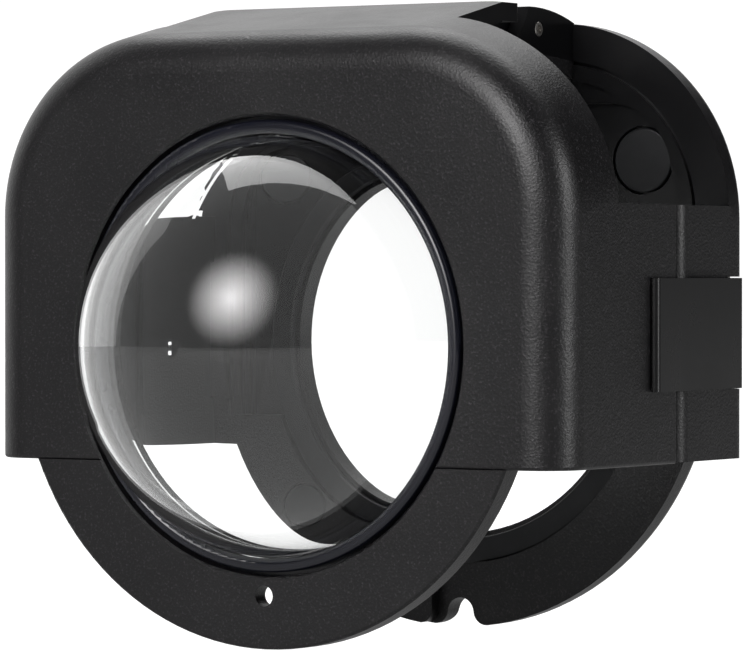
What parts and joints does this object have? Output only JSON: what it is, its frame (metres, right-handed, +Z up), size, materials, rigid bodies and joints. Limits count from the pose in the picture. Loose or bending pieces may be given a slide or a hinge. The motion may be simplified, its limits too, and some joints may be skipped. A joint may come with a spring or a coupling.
{
  "type": "hinged dome window clamp frame",
  "caption": "Black moulded clamp frame, hinged at the top and latched at both sides, that holds a clear dome window in front of a round rear opening.",
  "frame": {"origin": "centre of the round rear opening, on the back face of the rear frame", "axes": "+Z up towards the hinge, +Y out of the back along the rear opening's axis, +X to the right seen from the dome"},
  "size_m": [0.0836, 0.0686, 0.0777],
  "materials": {
    "moulded_black": "fine spark-eroded texture, matte",
    "bezel_black": "smooth, semi-gloss",
    "clear_dome": "clear polished dome",
    "seal_rubber": "matte",
    "inner_black": "smooth matte",
    "screw_steel": "zinc plated",
    "gasket_rubber": "smooth matte",
    "pad_rubber": "smooth matte",
    "pin_steel": "drawn steel",
    "latch_black": "smooth, satin"
  },
  "bodies": {
    "rear_frame": {"rear_frame": "moulded_black", "seat_gasket": "gasket_rubber", "upper_right_pad": "pad_rubber", "upper_left_pad": "pad_rubber", "lower_left_pad": "pad_rubber", "hinge_pin": "pin_steel", "latch_pin_right": "pin_steel", "latch_pin_left": "pin_steel"},
    "front_shell": {"front_shell": "moulded_black", "lens_bezel": "bezel_black", "dome_window": "clear_dome", "dome_seal": "seal_rubber", "dome_clamp_ring": "inner_black", "clamp_ring_screws": "screw_steel"},
    "latch_right": {"latch_right": "latch_black"},
    "latch_left": {"latch_left": "latch_black"}
  },
  "joints": [
    {"name": "shell_flip", "type": "hinge", "parent": "rear_frame", "child": "front_shell", "pos_m": [0, -0.0129, 0.0388], "axis": [-1, 0, 0], "range_deg": [0, 100]},
    {"name": "latch_right_swing", "type": "hinge", "parent": "rear_frame", "child": "latch_right", "pos_m": [0.0374, -0.0023, 0.00135], "axis": [0, 0, 1], "range_deg": [0, 100]},
    {"name": "latch_left_swing", "type": "hinge", "parent": "rear_frame", "child": "latch_left", "pos_m": [-0.0374, -0.0023, 0.00135], "axis": [0, 0, -1], "range_deg": [0, 100]}
  ]
}
